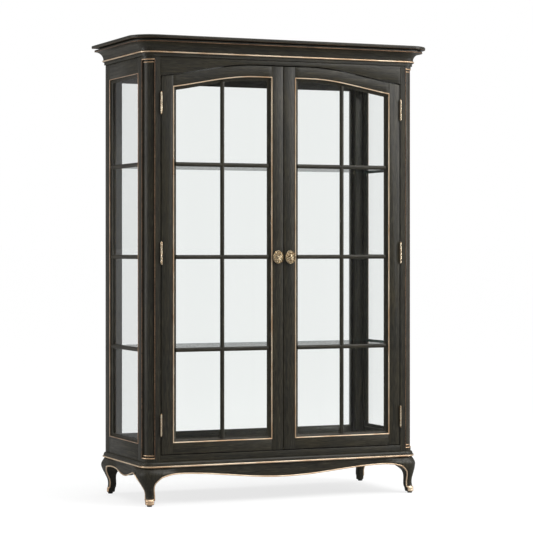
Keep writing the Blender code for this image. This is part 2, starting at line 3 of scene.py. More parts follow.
import bmesh
import bpy
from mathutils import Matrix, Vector


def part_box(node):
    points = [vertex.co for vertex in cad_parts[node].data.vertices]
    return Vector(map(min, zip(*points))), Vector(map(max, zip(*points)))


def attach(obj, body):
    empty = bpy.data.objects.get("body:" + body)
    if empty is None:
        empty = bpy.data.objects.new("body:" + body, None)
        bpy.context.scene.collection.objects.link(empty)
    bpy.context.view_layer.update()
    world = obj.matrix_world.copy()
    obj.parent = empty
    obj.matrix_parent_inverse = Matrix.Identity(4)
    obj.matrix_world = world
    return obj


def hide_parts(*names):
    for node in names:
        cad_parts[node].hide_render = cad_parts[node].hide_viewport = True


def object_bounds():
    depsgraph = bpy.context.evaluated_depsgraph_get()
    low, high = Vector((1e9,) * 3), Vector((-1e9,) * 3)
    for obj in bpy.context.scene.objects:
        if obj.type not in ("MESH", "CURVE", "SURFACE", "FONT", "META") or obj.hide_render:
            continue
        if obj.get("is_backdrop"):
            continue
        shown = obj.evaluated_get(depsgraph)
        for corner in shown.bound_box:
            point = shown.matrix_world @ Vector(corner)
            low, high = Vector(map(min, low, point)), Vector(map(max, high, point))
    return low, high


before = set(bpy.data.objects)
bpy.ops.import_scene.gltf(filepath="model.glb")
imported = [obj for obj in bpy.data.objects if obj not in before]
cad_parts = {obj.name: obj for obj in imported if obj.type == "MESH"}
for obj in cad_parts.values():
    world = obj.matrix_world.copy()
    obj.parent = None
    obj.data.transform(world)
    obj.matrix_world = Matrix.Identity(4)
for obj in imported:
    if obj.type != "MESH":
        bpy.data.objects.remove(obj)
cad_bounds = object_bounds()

# ---------------------------------------------------------------------------------------------
# The studio: a pale seamless floor and an even white surround. One broad light overhead, a soft
# box to the front right, and an upright strip on each side that draws a highlight down the wood.
# ---------------------------------------------------------------------------------------------
CAMERA_PLACE = (-3.552, -8.197, 1.0974)
CAMERA_TURN = math.radians(-23.53)
CAMERA_LENS = 134.95
CAMERA_SHIFT = -0.0344
FLOOR_REACH = 2000.0
WHITE = (1.0, 1.0, 1.0)


def add_node(tree, kind, inputs=None, **settings):
    """Adds a shader node. An input given as another node's output is linked to it."""
    made = tree.nodes.new("ShaderNode" + kind)
    for key, value in settings.items():
        setattr(made, key, value)
    for key, value in (inputs or {}).items():
        if isinstance(value, bpy.types.NodeSocket):
            tree.links.new(value, made.inputs[key])
        else:
            made.inputs[key].default_value = value
    return made


def new_finish(name):
    """A new material, with its node tree and its main shader."""
    material = bpy.data.materials.new(name)
    material.use_nodes = True
    return material, material.node_tree, material.node_tree.nodes["Principled BSDF"]


def fade_with_bounces(tree, direct, bounced):
    """A strength that is direct where the camera sees it and bounced in reflected light."""
    rays = add_node(tree, "LightPath")
    depths = {0: rays.outputs["Glossy Depth"], 1: rays.outputs["Diffuse Depth"]}
    turns = add_node(tree, "Math", depths, operation="ADD")
    settings = {"Value": turns.outputs[0], "To Min": direct, "To Max": bounced}
    return add_node(tree, "MapRange", settings).outputs[0]


camera_data = bpy.data.cameras.new("camera")
camera_data.sensor_width = 36.0
camera_data.lens = CAMERA_LENS
camera_data.shift_y = CAMERA_SHIFT
camera_data.clip_end = 2 * FLOOR_REACH
camera = bpy.data.objects.new("camera", camera_data)
camera.location = CAMERA_PLACE
camera.rotation_euler = (math.radians(90), 0.0, CAMERA_TURN)
bpy.context.scene.collection.objects.link(camera)
bpy.context.scene.camera = camera
bpy.context.scene.view_settings.view_transform = "Standard"

surround = bpy.data.worlds.new("white_surround")
surround.use_nodes = True
surround_tree = surround.node_tree
background = surround_tree.nodes["Background"]
background.inputs["Color"].default_value = (*WHITE, 1.0)
surround_tree.links.new(fade_with_bounces(surround_tree, 1.0, 0.30), background.inputs["Strength"])
bpy.context.scene.world = surround


def add_light(name, kind, place, aim, energy, **settings):
    data = bpy.data.lights.new(name, kind)
    data.energy = energy
    for key, value in settings.items():
        setattr(data, key, value)
    light = bpy.data.objects.new(name, data)
    light.location = place
    light.rotation_euler = (Vector(aim) - Vector(place)).to_track_quat("-Z", "Y").to_euler()
    bpy.context.scene.collection.objects.link(light)


add_light("overhead", "SUN", (0.9, -1.2, 5.0), (0.0, 0.0, 0.0), 1.9, angle=math.radians(70))
add_light("soft_box", "AREA", (2.6, -3.2, 3.6), (0.5, -0.2, 1.4), 85.0, size=2.0)
add_light(
    "side_strip", "AREA", (-4.2, 0.8, 1.7), (-0.6, 0.0, 1.1), 55.0,
    shape="RECTANGLE", size=0.7, size_y=2.6,
)
add_light(
    "front_strip", "AREA", (4.0, -2.2, 1.9), (0.6, -0.2, 1.3), 75.0,
    shape="RECTANGLE", size=0.6, size_y=2.4,
)

floor_paint, floor_tree, floor_shader = new_finish("floor_paint")
floor_shader.inputs["Base Color"].default_value = (0.26, 0.26, 0.26, 1.0)
floor_shader.inputs["Roughness"].default_value = 0.9
floor_shader.inputs["Specular IOR Level"].default_value = 0.0
floor_shader.inputs["Emission Color"].default_value = (*WHITE, 1.0)
floor_glow = fade_with_bounces(floor_tree, 0.77, 0.15)
floor_tree.links.new(floor_glow, floor_shader.inputs["Emission Strength"])
floor_bm = bmesh.new()
bmesh.ops.create_grid(floor_bm, x_segments=1, y_segments=1, size=FLOOR_REACH)
floor_mesh = bpy.data.meshes.new("floor")
floor_bm.to_mesh(floor_mesh)
floor_bm.free()
floor_mesh.materials.append(floor_paint)
floor = bpy.data.objects.new("floor", floor_mesh)
bpy.context.scene.collection.objects.link(floor)
floor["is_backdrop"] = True

# ---------------------------------------------------------------------------------------------
# Four cabriole legs, carved from the solid and painted: a broad knee that swells out at the
# corner, a slim ankle and a turned-out toe with two gilt rolls. Each stands on a black glide.
# ---------------------------------------------------------------------------------------------
SIDES = {"left": -1, "right": 1}
half_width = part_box("side_frame_right")[1].x
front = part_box("face_rail_bottom")[0].y
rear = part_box("back_frame")[1].y
leg_block = half_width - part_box("leg_front_right")[0].x
leg_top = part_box("leg_front_right")[1].z
UP = Vector((0.0, 0.0, 1.0))
FORWARD = Vector((0.0, -1.0, 0.0))


def ramp(tree, value, low, low_colour, high, high_colour=WHITE):
    """Turns a value into a colour that runs between two colours, each at its place."""
    made = add_node(tree, "ValToRGB", {"Fac": value})
    ends = made.color_ramp.elements
    ends[0].position, ends[0].color = low, (*low_colour, 1.0)
    ends[1].position, ends[1].color = high, (*high_colour, 1.0)
    return made.outputs["Color"]


def blend_colours(tree, factor, under, over, **settings):
    """Lays one colour over another by a factor, through the colour sockets of a Mix node."""
    inputs = {"Factor": factor, 6: under, 7: over}
    return add_node(tree, "Mix", inputs, data_type="RGBA", **settings).outputs[2]


def noise(tree, place, scale, detail=2.0):
    inputs = {"Vector": place, "Scale": scale, "Detail": detail}
    return add_node(tree, "TexNoise", inputs).outputs["Fac"]


def painted_oak(grain):
    """Thin black-brown paint over open-grained oak, with the grain along x, y or z."""
    material, tree, shader = new_finish("painted_oak_" + grain)
    place = add_node(tree, "TexCoord").outputs["Object"]
    slow = [0.045 if axis == grain else 1.0 for axis in "xyz"]
    along = add_node(tree, "Mapping", {"Vector": place, "Scale": slow}).outputs["Vector"]
    streaks = noise(tree, along, 130.0, 5.0)
    pores = noise(tree, along, 620.0, 3.0)
    flecks = noise(tree, along, 410.0)
    tone = ramp(tree, streaks, 0.36, (0.0125, 0.0102, 0.0052), 0.66, (0.054, 0.0440, 0.0235))
    rubbed = blend_colours(tree, noise(tree, place, 7.0), tone, (0.026, 0.025, 0.019, 1.0))
    open_pores = ramp(tree, pores, 0.38, (0.25, 0.25, 0.25), 0.52)
    pored = blend_colours(tree, 0.8, rubbed, open_pores, blend_type="MULTIPLY")
    limits = {"Value": flecks, "From Min": 0.56, "From Max": 0.74, "To Max": 0.45}
    fleck = add_node(tree, "MapRange", limits).outputs[0]
    coloured = blend_colours(tree, fleck, pored, (0.110, 0.100, 0.070, 1.0))
    limits = {"Value": streaks, "From Min": 0.3, "From Max": 0.7, "To Min": 0.46, "To Max": 0.33}
    gloss = add_node(tree, "MapRange", limits)
    relief = add_node(tree, "Bump", {"Height": open_pores, "Strength": 0.35, "Distance": 0.0006})
    shader.inputs["Specular IOR Level"].default_value = 0.28
    tree.links.new(coloured, shader.inputs["Base Color"])
    tree.links.new(gloss.outputs["Result"], shader.inputs["Roughness"])
    tree.links.new(relief.outputs["Normal"], shader.inputs["Normal"])
    return material


PAINT = {grain: painted_oak(grain) for grain in "xyz"}


def rubbed_gilt(name, gold, copper, bare):
    """Gold paint rubbed back along the edges, so that copper and the dark ground show through."""
    material, tree, shader = new_finish(name)
    place = add_node(tree, "TexCoord").outputs["Object"]
    wide = noise(tree, place, 9.0, 3.0)
    fine = noise(tree, place, 240.0, 4.0)
    leaf = ramp(tree, wide, 0.36, copper, 0.60, gold)
    worn = ramp(tree, fine, bare, (0.0, 0.0, 0.0), bare + 0.16)
    mixed = blend_colours(tree, worn, (0.030, 0.020, 0.012, 1.0), leaf)
    relief = add_node(tree, "Bump", {"Height": fine, "Strength": 0.2, "Distance": 0.0004})
    shader.inputs["Metallic"].default_value = 0.55
    shader.inputs["Roughness"].default_value = 0.32
    tree.links.new(mixed, shader.inputs["Base Color"])
    tree.links.new(relief.outputs["Normal"], shader.inputs["Normal"])
    return material


GILT = rubbed_gilt("gilt_paint", (0.90, 0.72, 0.52), (0.64, 0.42, 0.25), 0.22)
COPPER = rubbed_gilt("copper_paint", (0.74, 0.52, 0.36), (0.44, 0.26, 0.16), 0.26)
WORN_GILT = rubbed_gilt("worn_gilt_paint", (0.30, 0.17, 0.095), (0.16, 0.085, 0.048), 0.34)


def make_piece(name, bm, materials, body="root", replaces=(), crisp=35):
    """Turns a finished bmesh into a named piece that rides on its body."""
    bmesh.ops.remove_doubles(bm, verts=bm.verts, dist=1e-6)
    bmesh.ops.recalc_face_normals(bm, faces=bm.faces)
    mesh = bpy.data.meshes.new(name)
    bm.to_mesh(mesh)
    bm.free()
    mesh.shade_smooth()
    mesh.set_sharp_from_angle(angle=math.radians(crisp))
    for material in materials:
        mesh.materials.append(material)
    piece = bpy.data.objects.new(name, mesh)
    bpy.context.scene.collection.objects.link(piece)
    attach(piece, body)
    if replaces:
        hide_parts(*replaces)
    return piece


def lofted(rings):
    """Extrudes a ring of points through the others, closing up if the last is the first."""
    bm = bmesh.new()
    verts = [bm.verts.new(point) for point in rings[0]]
    edges = [bm.edges.new(pair) for pair in zip(verts, verts[1:] + verts[:1])]
    ends = list(edges)
    for ring in rings[1:]:
        made = bmesh.ops.extrude_edge_only(bm, edges=edges)["geom"]
        made = [item for item in made if isinstance(item, bmesh.types.BMVert)]
        fresh = {vert.co.to_tuple(7): vert for vert in made}
        verts = [fresh[vert.co.to_tuple(7)] for vert in verts]
        edges = [bm.edges.get(pair) for pair in zip(verts, verts[1:] + verts[:1])]
        for vert, point in zip(verts, ring):
            vert.co = point
    if rings[-1] is not rings[0]:
        bmesh.ops.edgeloop_fill(bm, edges=ends)
        bmesh.ops.edgeloop_fill(bm, edges=edges)
    return bm


def arc(centre_u, centre_v, radius, start, end, steps):
    """Points on an arc, with its angles in degrees."""
    angles = [math.radians(start + (end - start) * i / steps) for i in range(steps + 1)]
    return [(centre_u + radius * math.cos(a), centre_v + radius * math.sin(a)) for a in angles]


def turned(bm, profile, centre, axis, steps=24):
    """A turned shape: radius and distance along the axis, spun round it."""
    axis = Vector(axis).normalized()
    across = axis.orthogonal().normalized()
    verts = [bm.verts.new(centre + across * r + axis * d) for r, d in profile]
    edges = [bm.edges.new(pair) for pair in zip(verts, verts[1:])]
    full_turn = {"angle": 2 * math.pi, "steps": steps, "use_merge": True}
    bmesh.ops.spin(bm, geom=verts + edges, cent=centre, axis=axis, **full_turn)


KNEE_ROWS = [
    # height, outer, inner, front and back, in from the corner, and the radii of the corners
    (leg_top, -0.0040, leg_block, -0.0040, leg_block, 0.047, 0.0006),
    (leg_top - 0.0012, -0.0050, leg_block, -0.0050, leg_block, 0.048, 0.0006),
    (0.1500, -0.0135, leg_block, -0.0135, leg_block, 0.056, 0.0006),
    (0.1360, -0.0213, leg_block, -0.0213, leg_block, 0.064, 0.0006),
    (0.1240, -0.0205, leg_block, -0.0205, leg_block, 0.062, 0.001),
    (0.1160, -0.0180, 0.0615, -0.0190, 0.0615, 0.058, 0.005),
    (0.1070, -0.0145, 0.0522, -0.0165, 0.0500, 0.050, 0.007),
    (0.0975, -0.0100, 0.0445, -0.0135, 0.0435, 0.043, 0.009),
]
ANKLE_ROWS = [
    (0.0830, -0.0030, 0.0415, -0.0095, 0.0385, 0.032, 0.011),
    (0.0680, 0.0045, 0.0425, -0.0070, 0.0360, 0.024, 0.013),
    (0.0520, 0.0080, 0.0445, -0.0060, 0.0350, 0.020, 0.014),
    (0.0380, 0.0075, 0.0448, -0.0070, 0.0345, 0.0195, 0.014),
    (0.0290, 0.0060, 0.0440, -0.0090, 0.0315, 0.0190, 0.014),
]
TOE_ROWS = [
    (0.0268, 0.0042, 0.0425, -0.0118, 0.0290, 0.0185, 0.0135),
    (0.0218, 0.0026, 0.0418, -0.0138, 0.0275, 0.0185, 0.0135),
    (0.0172, 0.0042, 0.0410, -0.0128, 0.0260, 0.0180, 0.0130),
    (0.0160, 0.0040, 0.0410, -0.0130, 0.0255, 0.0180, 0.0130),
    (0.0115, 0.0022, 0.0408, -0.0144, 0.0245, 0.0185, 0.0130),
    (0.0072, 0.0040, 0.0392, -0.0135, 0.0228, 0.0175, 0.0125),
    (0.0062, 0.0070, 0.0370, -0.0110, 0.0210, 0.0150, 0.0110),
]
LEG_ROWS = KNEE_ROWS + ANKLE_ROWS + TOE_ROWS
TOE_TOP = 0.0290
ROUNDEST = 0.48  # the share of a leg's shorter side that a corner's radius may take


def leg_ring(row, side, is_front):
    """One section of a leg, as points round it from the outer corner."""
    z, outer, inner, face, back, outer_radius, radius = row
    if not is_front:
        face, outer_radius = 0.0, radius
    shorter = min(inner - outer, back - face)
    radius = min(radius, ROUNDEST * shorter)
    outer_radius = min(outer_radius, 2 * ROUNDEST * shorter - radius)
    points = arc(outer + outer_radius, face + outer_radius, outer_radius, 180, 270, 5)
    points += arc(inner - radius, face + radius, radius, 270, 360, 2)
    points += arc(inner - radius, back - radius, radius, 0, 90, 2)
    points += arc(outer + radius, back - radius, radius, 90, 180, 2)
    edge, inward = (front, 1) if is_front else (rear, -1)
    return [Vector((side * (half_width - u), edge + inward * v, z)) for u, v in points]


def smooth_skin(piece, levels=2):
    skin = piece.modifiers.new("smooth_skin", "SUBSURF")
    skin.levels = levels
    skin.render_levels = levels


GLIDE_RADIUS = 0.0108
GLIDE_HEIGHT = 0.0066
GLIDE_EASE = 0.001
RUBBER, rubber_tree, rubber_shader = new_finish("black_rubber")
dust = noise(rubber_tree, add_node(rubber_tree, "TexCoord").outputs["Object"], 300.0)
dusty = ramp(rubber_tree, dust, 0.0, (0.006, 0.006, 0.006), 1.0, (0.022, 0.021, 0.019))
rubber_tree.links.new(dusty, rubber_shader.inputs["Base Color"])
rubber_shader.inputs["Roughness"].default_value = 0.7

for hand, side in SIDES.items():
    for end in ("front", "rear"):
        node = f"leg_{end}_{hand}"
        bm = lofted([leg_ring(row, side, end == "front") for row in LEG_ROWS])
        bmesh.ops.recalc_face_normals(bm, faces=bm.faces)
        outward = Vector((side, -1.0 if end == "front" else 1.0, 0.0)).normalized()
        for face in bm.faces:
            is_toe = face.calc_center_median().z < TOE_TOP
            face.material_index = int(is_toe and face.normal.dot(outward) > 0.25)
        leg = make_piece(node + "_carved", bm, [PAINT["z"], GILT], replaces=[node], crisp=180)
        smooth_skin(leg)

        sole = leg_ring(TOE_ROWS[-1], side, end == "front")
        centre = sum(sole, Vector()) / len(sole)
        place = Vector((centre.x, min(centre.y, rear - GLIDE_RADIUS - 0.0005), 0.0))
        profile = [(0, 0), (GLIDE_RADIUS - GLIDE_EASE, 0), (GLIDE_RADIUS, GLIDE_EASE)]
        profile += [(GLIDE_RADIUS, GLIDE_HEIGHT), (0, GLIDE_HEIGHT)]
        bm = bmesh.new()
        turned(bm, profile, place, UP)
        make_piece(node + "_glide", bm, [RUBBER])

# ---------------------------------------------------------------------------------------------
# Four aprons between the legs, sawn to a scalloped lower edge from solid oak. The front and
# side ones swell out at their ends to meet the knees; the rear one is plain.
# ---------------------------------------------------------------------------------------------
APRON_THICKNESS = 0.020
APRON_PROUD = 0.004
APRON_EASE = 0.0025
KNEE_LENGTH = 0.100
ARCH_INSET = {"front": 0.071, "side": 0.041}
ARCH_FALL = {"front": 2.4, "side": 3.4}
ARCH_DEPTH = {"front": 0.028, "side": 0.030}
base_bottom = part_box("base_moulding")[0].z
apron_half = {
    "front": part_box("apron_front")[1].x,
    "side": (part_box("apron_left")[1].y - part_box("apron_left")[0].y) / 2,
}
apron_low = {"front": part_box("apron_front")[0].z, "side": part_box("apron_left")[0].z}
middle_y = (front + rear) / 2


def ease(value):
    value = min(max(value, 0.0), 1.0)
    return value * value * (3 - 2 * value)


def apron_edge(kind, distance):
    """Height of the lower edge at this distance from the apron's middle."""
    arch_place = apron_half[kind] - ARCH_INSET[kind]
    arch_height = base_bottom - ARCH_DEPTH[kind]
    if abs(distance) > arch_place:
        return arch_height - ARCH_FALL[kind] * (abs(distance) - arch_place) ** 2
    wave = (1 - math.cos(math.pi * distance / arch_place)) / 2
    return apron_low[kind] + (arch_height - apron_low[kind]) * wave


def knee_face(z):
    """How far the leg's face stands out of the body at this height."""
    for upper, lower in zip(LEG_ROWS, LEG_ROWS[1:]):
        (high, *_, high_face, _, _, _), (low, *_, low_face, _, _, _) = upper, lower
        if low <= z <= high:
            return -(low_face + (high_face - low_face) * ease((z - low) / (high - low)))
    return APRON_PROUD


def apron_face(kind, distance, z):
    """How far the face stands out of the body at this place along the apron and this height."""
    swell = ease(1 - (apron_half[kind] - abs(distance)) / KNEE_LENGTH)
    return APRON_PROUD + (knee_face(z) - APRON_PROUD) * swell


def apron_rings(kind, count):
    """Sections of an apron: distance out from the body, and height, at steps along it."""
    half = apron_half[kind]
    for step in range(count + 1):
        distance = half * (2 * step / count - 1)
        low = apron_edge(kind, distance)
        out = apron_face(kind, distance, low)
        section = [(-APRON_THICKNESS, leg_top), (-APRON_THICKNESS, low + 0.001)]
        section += [(0.001 - APRON_THICKNESS, low), (out - APRON_EASE, low)]
        section += [(out - 0.0007, low + 0.0007)]
        for level in range(13):
            z = low + APRON_EASE + (leg_top - low - APRON_EASE) * level / 12
            section.append((apron_face(kind, distance, z), z))
        yield distance, section


rings = [
    [Vector((x, front - out, z)) for out, z in section] for x, section in apron_rings("front", 72)
]
make_piece("apron_front_sawn", lofted(rings), [PAINT["x"]], replaces=["apron_front"], crisp=50)
for hand, side in SIDES.items():
    node = f"apron_{hand}"
    rings = [
        [Vector((side * (half_width + out), middle_y + y, z)) for out, z in section]
        for y, section in apron_rings("side", 40)
    ]
    make_piece(node + "_sawn", lofted(rings), [PAINT["y"]], replaces=[node], crisp=50)


def add_box(bm, low, high):
    made = bmesh.ops.create_cube(bm, size=1.0)["verts"]
    bmesh.ops.scale(bm, vec=Vector(high) - Vector(low), verts=made)
    bmesh.ops.translate(bm, vec=(Vector(high) + Vector(low)) / 2, verts=made)


def ease_edges(bm, edges, width):
    rounding = {"segments": 2, "profile": 0.5, "affect": "EDGES", "material": -1}
    bmesh.ops.bevel(bm, geom=edges, offset=width, **rounding)


def board(name, low, high, grain, replaces=()):
    """A planed board between two corners, with its edges eased."""
    bm = bmesh.new()
    add_box(bm, low, high)
    ease_edges(bm, bm.edges[:], 0.0012)
    make_piece(name, bm, [PAINT[grain]], replaces=replaces, crisp=60)


board("apron_rear_plain", *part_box("apron_rear"), "x", replaces=["apron_rear"])

# ---------------------------------------------------------------------------------------------
# A gilt bead runs from each front toe up the leg's edge, along the apron and down the next leg,
# round three sides. It is carved on the edge and painted gold, rubbed back in places.
# ---------------------------------------------------------------------------------------------
EDGE_BEAD = 0.0030
BEAD_START = 0.0268
BEAD_STOP = 0.040  # how far below the body a leg's bead turns on to the apron
BEAD_TUCK = 0.0010
CORNER_TUCK = 0.29  # the share of a corner's radius by which its middle lies inside it


def rings_along(points, face, profile, closed=False):
    """Rings of a profile drawn along points: u lies across the line and v stands out along face."""
    rings = []
    last = len(points) - 1
    for i, point in enumerate(points):
        arriving = point - points[i - 1] if i or closed else points[1] - point
        leaving = points[(i + 1) % len(points)] - point if i < last or closed else arriving
        along = (arriving.normalized() + leaving.normalized()).normalized()
        across = along.cross(face).normalized()
        straight = arriving.cross(face).normalized()
        reach = 1.0 / max(across.dot(straight), 0.5)
        out = across.cross(along).normalized()
        rings.append([point + across * (u * reach) + out * v for u, v in profile])
    return rings + [rings[0]] if closed else rings


def circle(centre_u, centre_v, radius, count):
    return arc(centre_u, centre_v, radius, 0, 360 - 360 / count, count - 1)


def leg_edge(side, is_front, across):
    """The line of a leg's gilt edge from its toe up to the apron's end."""
    line = []
    for z, outer, inner, face, back, outer_radius, radius in reversed(LEG_ROWS):
        if not BEAD_START <= z < base_bottom - BEAD_STOP:
            continue
        tuck = CORNER_TUCK * min(radius, ROUNDEST * (back - face))
        if across:
            u, v = inner - tuck, face + tuck
        else:
            u, v = outer + tuck, back - tuck
        edge, inward = (front, 1) if is_front else (rear, -1)
        line.append(Vector((side * (half_width - u), edge + inward * v, z)))
    return line


def gilt_line(name, points, face, radius, material=GILT, body="root", closed=False):
    bm = lofted(rings_along(points, face, circle(0.0, 0.0, radius, 10), closed))
    make_piece(name, bm, [material], body=body)


edge_line = leg_edge(-1, True, True)
for step in range(73):
    x = apron_half["front"] * (step / 36 - 1)
    z = apron_edge("front", x) + BEAD_TUCK
    edge_line.append(Vector((x, front - apron_face("front", x, z) + BEAD_TUCK, z)))
edge_line += reversed(leg_edge(1, True, True))
gilt_line("gilt_edge_front", edge_line, FORWARD, EDGE_BEAD)
for hand, side in SIDES.items():
    edge_line = leg_edge(side, True, False)
    for step in range(41):
        y = apron_half["side"] * (step / 20 - 1)
        z = apron_edge("side", y) + BEAD_TUCK
        x = side * (half_width + apron_face("side", y, z) - BEAD_TUCK)
        edge_line.append(Vector((x, middle_y + y, z)))
    edge_line += reversed(leg_edge(side, False, False))
    gilt_line(f"gilt_edge_{hand}", edge_line, Vector((side, 0, 0)), EDGE_BEAD)

# ---------------------------------------------------------------------------------------------
# The base moulding, worked in oak and mitred round the front corners: a gilt bead below and a
# quarter-round slope above it, on which the carcass stands.
# ---------------------------------------------------------------------------------------------
BEAD = 0.0055
BEAD_SEAT = BEAD - 0.0006
BASE_BEAD_UP = 0.0061
BASE_LEDGE = 0.0085
MOULDING_WALL = 0.030
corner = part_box("front_post_right")[1].y - front


def body_outline(steps=14):
    """The body's outline in plan, from the rear left corner round the front to the rear right."""
    centre_x, centre_y = half_width - corner, front + corner
    points = arc(-centre_x, centre_y, corner, 180, 270, steps)
    points += arc(centre_x, centre_y, corner, 270, 360, steps)
    points = [(-half_width, rear)] + points + [(half_width, rear)]
    return [Vector((x, y, 0.0)) for x, y in points]


def moulding(name, node, profile):
    """A moulded frame round the body, open at the back, closed there by a plain strip."""
    low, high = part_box(node)
    section = [(-MOULDING_WALL, low.z)] + profile + [(-MOULDING_WALL, high.z)]
    bm = lofted(rings_along(body_outline(), UP, section))
    for face in bm.faces:
        face.material_index = int(face.calc_center_median().y > front + corner)
    make_piece(name, bm, [PAINT["x"], PAINT["y"]], replaces=[node])
    inside = half_width - MOULDING_WALL
    board(name + "_rear", (-inside, rear - MOULDING_WALL, low.z), (inside, rear, high.z), "x")


def body_bead(name, out, z, radius, sides, material):
    """A round gilt bead along the body's outline, its middle this far out and this high."""
    bm = lofted(rings_along(body_outline(), UP, circle(out, z, radius, sides)))
    make_piece(name, bm, [material])


base_low, base_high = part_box("base_moulding")
base_bead = base_low.z + BASE_BEAD_UP
slope_low = base_bead + BEAD
profile = [(0.004, base_low.z)] + arc(BASE_LEDGE, base_bead, BEAD_SEAT, -80, 80, 6)
for step in range(9):
    angle = math.radians(90 * step / 8)
    height = slope_low + (base_high.z - slope_low) * math.sin(angle)
    profile.append((BASE_LEDGE * math.cos(angle), height))
moulding("base_moulding_worked", "base_moulding", profile)
body_bead("base_bead", 0.0098, base_bead - 0.0010, 0.0042, 18, GILT)

# ---------------------------------------------------------------------------------------------
# Corner posts. Each front post is turned back to a quarter column between gilt rings, with a
# copper-rubbed arris on either side of it. The rear posts are plain square stock.
# ---------------------------------------------------------------------------------------------
COLUMN_RECESS = 0.008
ARRIS = 0.0014
RING_PLACES = {"foot": (0.0163, 0.0272), "head": (-0.0140, -0.0255)}
opening_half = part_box("front_post_right")[0].x
post_low, post_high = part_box("front_post_right")
column_foot = base_high.z + RING_PLACES["foot"][0]
column_head = post_high.z + RING_PLACES["head"][0]


def post_ring(side, radius, z):
    centre = half_width - corner
    outline = [(opening_half, corner), (opening_half, 0.001), (opening_half + 0.001, 0.0)]
    outline += [(centre - 0.001, 0.0), (centre, 0.001)]
    outline += arc(centre, corner, radius, -90, 0, 16)
    return [Vector((side * x, front + y, z)) for x, y in outline]


plain, column = corner - 0.0004, corner - COLUMN_RECESS
levels = [(post_low.z, plain), (column_foot, plain), (column_foot + 0.0015, column)]
levels += [(column_head - 0.0015, column), (column_head, plain), (post_high.z, plain)]
for hand, side in SIDES.items():
    node = f"front_post_{hand}"
    bm = lofted([post_ring(side, radius, z) for z, radius in levels])
    make_piece(node + "_turned", bm, [PAINT["z"]], replaces=[node])
    node = f"rear_post_{hand}"
    board(node + "_square", *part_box(node), "z", replaces=[node])

    centre = Vector((side * (half_width - corner), front + corner, 0.0))
    start = 180 if side < 0 else 270
    for place, offsets in RING_PLACES.items():
        level = base_high.z if place == "foot" else post_high.z
        sizes = ((corner - 0.0015, 0.0026), (column + 0.0006, 0.0020))
        for number, (offset, (reach, thick)) in enumerate(zip(offsets, sizes), 1):
            points = arc(centre.x, centre.y, reach, start - 1, start + 91, 14)
            path = [Vector((*point, level + offset)) for point in points]
            gilt_line(f"post_{hand}_ring_{place}_{number}", path, UP, thick)
    arrises = {"front": (half_width - corner, front), "side": (half_width, front + corner)}
    for kind, (x, y) in arrises.items():
        path = [Vector((side * x, y, z)) for z in (column_foot, column_head)]
        gilt_line(f"post_{hand}_arris_{kind}", path, FORWARD, ARRIS, material=WORN_GILT)

# ---------------------------------------------------------------------------------------------
# The face rails between the posts. The upper one is sawn along the doors' arch and the lower
# one is straight; both are tenoned into the posts, which leaves a fine joint line.
# ---------------------------------------------------------------------------------------------
ARCH_RISE = 0.066
ARCH_FLAT = 0.135
ARCH_RUN_OUT = 0.085
DOOR_GAP = 0.002
EDGE_EASE = 0.0014
door_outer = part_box("right_door_frame")[1].x
door_low, door_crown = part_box("right_door_frame")[0].z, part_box("right_door_frame")[1].z


def arch(x):
    """How far the doors' top edge has dropped from its crown, at this distance from the seam."""
    return ARCH_RISE * ease((abs(x) - ARCH_FLAT) / (door_outer + ARCH_RUN_OUT - ARCH_FLAT))


def plank(name, outline, depth, grain, soften, body="root", replaces=()):
    """A board sawn to an outline in X and Z, flush with the front, with its edges eased."""
    bm = bmesh.new()
    face = bm.faces.new([bm.verts.new((x, front, z)) for x, z in outline])
    made = bmesh.ops.extrude_face_region(bm, geom=[face])["geom"]
    moved = [item for item in made if isinstance(item, bmesh.types.BMVert)]
    bmesh.ops.translate(bm, vec=(0.0, depth, 0.0), verts=moved)
    bmesh.ops.recalc_face_normals(bm, faces=bm.faces)
    sharp = [edge for edge in bm.edges if edge.calc_face_angle() > math.radians(30)]
    ease_edges(bm, sharp, soften)
    make_piece(name, bm, [PAINT[grain]], body=body, replaces=replaces, crisp=50)


board("face_rail_lower", *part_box("face_rail_bottom"), "x", replaces=["face_rail_bottom"])
rail_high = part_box("face_rail_top")[1]
rail_half = rail_high.x
steps = [rail_half * (1 - i / 32) for i in range(65)]
outline = [(-rail_half, rail_high.z), (rail_half, rail_high.z)]
outline += [(x, door_crown + DOOR_GAP + EDGE_EASE - arch(x)) for x in steps]
rail_depth = rail_high.y - front
plank("face_rail_arched", outline, rail_depth, "x", 0.0006, replaces=["face_rail_top"])

# ---------------------------------------------------------------------------------------------
# Clear float glass, 4 mm thick, held in rebates from inside. It lets lamp light straight
# through and shows faintly green where it is looked at edge on.
# ---------------------------------------------------------------------------------------------
def clear_glass(name, tint, ior):
    """Float glass that shadow rays pass straight through."""
    material, tree, shader = new_finish(name)
    shader.inputs["Base Color"].default_value = (*tint, 1.0)
    shader.inputs["Roughness"].default_value = 0.0
    shader.inputs["IOR"].default_value = ior
    shader.inputs["Transmission Weight"].default_value = 1.0
    rays = add_node(tree, "LightPath")
    passing = add_node(tree, "BsdfTransparent", {"Color": (0.84, 0.86, 0.85, 1.0)})
    inputs = {0: rays.outputs["Is Shadow Ray"], 1: shader.outputs[0], 2: passing.outputs[0]}
    either = add_node(tree, "MixShader", inputs)
    tree.links.new(either.outputs[0], tree.nodes["Material Output"].inputs["Surface"])
    return material


def dress(node, material):
    """Gives a CAD node that stays as it is the finish of the real piece."""
    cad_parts[node].data.materials.clear()
    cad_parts[node].data.materials.append(material)


GLASS = clear_glass("float_glass", (0.932, 0.946, 0.940), 1.25)
for node in (
    "back_glass", "side_glass_left", "side_glass_right", "left_door_glass", "right_door_glass",
):
    dress(node, GLASS)

